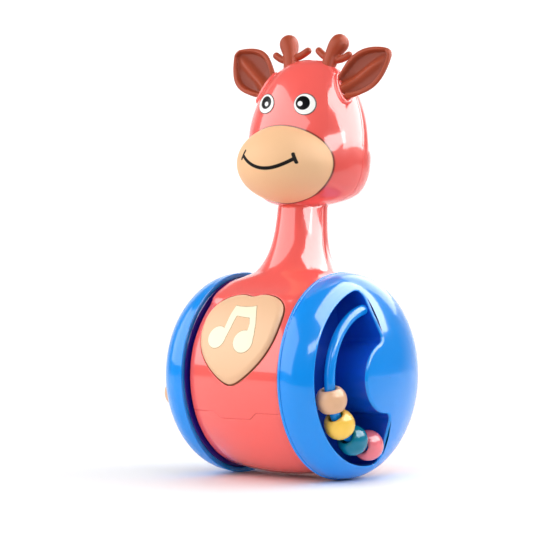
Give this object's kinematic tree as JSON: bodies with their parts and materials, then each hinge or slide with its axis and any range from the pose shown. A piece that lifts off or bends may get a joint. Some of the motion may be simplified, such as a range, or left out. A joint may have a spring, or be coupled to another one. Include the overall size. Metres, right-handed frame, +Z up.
{
  "type": "roly poly toy",
  "caption": "Deer-shaped tumbler toy with a weighted body hung between two domed bead wheels and a squeaky heart button on its chest.",
  "frame": {"origin": "on the floor below the middle of the axle", "axes": "+Z up, the deer faces -Y, the axle lies along X"},
  "size_m": [0.1058, 0.0915, 0.1996],
  "materials": {
    "coral_abs": "gloss",
    "cream_abs": "gloss",
    "note_abs": "gloss",
    "eye_white": "gloss, printed pupil",
    "brown_tpe": "satin",
    "blue_abs": "gloss",
    "navy_abs": "gloss",
    "bead_coral": "gloss",
    "bead_teal": "gloss",
    "bead_yellow": "gloss",
    "bead_beige": "gloss",
    "steel": "plain",
    "iron": "as cast",
    "natural_pom": "as moulded",
    "soft_pvc": "as moulded"
  },
  "bodies": {
    "deer": {"front_shell": "coral_abs", "rear_shell": "coral_abs", "base_shell": "coral_abs", "muzzle": "cream_abs", "left_eye": "eye_white", "right_eye": "eye_white", "left_ear": "brown_tpe", "right_ear": "brown_tpe", "left_antler": "brown_tpe", "right_antler": "brown_tpe", "squeaker_bellows": "soft_pvc", "squeaker_reed": "natural_pom", "squeaker_bracket": "natural_pom", "counterweight": "iron", "counterweight_screws": "steel", "shell_screws": "steel", "base_screws": "steel", "axle": "steel", "axle_bushes": "natural_pom", "thrust_washers": "natural_pom", "axle_clips": "steel"},
    "heart": {"heart_button": "cream_abs", "note_inlay": "note_abs"},
    "left_wheel": {"left_wheel_dome": "blue_abs", "left_tread_ring": "blue_abs", "left_wheel_tray": "navy_abs", "left_bead_rod": "blue_abs"},
    "left_bead_body_1": {"left_bead_1": "bead_coral"},
    "left_bead_body_2": {"left_bead_2": "bead_teal"},
    "left_bead_body_3": {"left_bead_3": "bead_yellow"},
    "left_bead_body_4": {"left_bead_4": "bead_beige"},
    "right_wheel": {"right_wheel_dome": "blue_abs", "right_tread_ring": "blue_abs", "right_wheel_tray": "navy_abs", "right_bead_rod": "blue_abs"},
    "right_bead_body_1": {"right_bead_1": "bead_coral"},
    "right_bead_body_2": {"right_bead_2": "bead_teal"},
    "right_bead_body_3": {"right_bead_3": "bead_yellow"},
    "right_bead_body_4": {"right_bead_4": "bead_beige"}
  },
  "joints": [
    {"name": "heart_press", "type": "slide", "parent": "deer", "child": "heart", "axis": [0, 0.9171, -0.3987], "range_m": [0, 0.0025], "stiffness_N_per_m": 500, "deforming": ["squeaker_bellows"]},
    {"name": "left_wheel_spin", "type": "hinge", "parent": "deer", "child": "left_wheel", "pos_m": [0, 0, 0.0455], "axis": [1, 0, 0], "continuous": true},
    {"name": "left_bead_1_slide", "type": "hinge", "parent": "left_wheel", "child": "left_bead_body_1", "pos_m": [0, 0, 0.0455], "axis": [-1, 0, 0], "range_deg": [0, 21]},
    {"name": "left_bead_2_slide", "type": "hinge", "parent": "left_bead_body_1", "child": "left_bead_body_2", "pos_m": [0, 0, 0.0455], "axis": [-1, 0, 0], "range_deg": [0, 21]},
    {"name": "left_bead_3_slide", "type": "hinge", "parent": "left_bead_body_2", "child": "left_bead_body_3", "pos_m": [0, 0, 0.0455], "axis": [-1, 0, 0], "range_deg": [0, 21]},
    {"name": "left_bead_4_slide", "type": "hinge", "parent": "left_bead_body_3", "child": "left_bead_body_4", "pos_m": [0, 0, 0.0455], "axis": [-1, 0, 0], "range_deg": [0, 21]},
    {"name": "right_wheel_spin", "type": "hinge", "parent": "deer", "child": "right_wheel", "pos_m": [0, 0, 0.0455], "axis": [1, 0, 0], "continuous": true},
    {"name": "right_bead_1_slide", "type": "hinge", "parent": "right_wheel", "child": "right_bead_body_1", "pos_m": [0, 0, 0.0455], "axis": [-1, 0, 0], "range_deg": [0, 21]},
    {"name": "right_bead_2_slide", "type": "hinge", "parent": "right_bead_body_1", "child": "right_bead_body_2", "pos_m": [0, 0, 0.0455], "axis": [-1, 0, 0], "range_deg": [0, 21]},
    {"name": "right_bead_3_slide", "type": "hinge", "parent": "right_bead_body_2", "child": "right_bead_body_3", "pos_m": [0, 0, 0.0455], "axis": [-1, 0, 0], "range_deg": [0, 21]},
    {"name": "right_bead_4_slide", "type": "hinge", "parent": "right_bead_body_3", "child": "right_bead_body_4", "pos_m": [0, 0, 0.0455], "axis": [-1, 0, 0], "range_deg": [0, 21]}
  ]
}
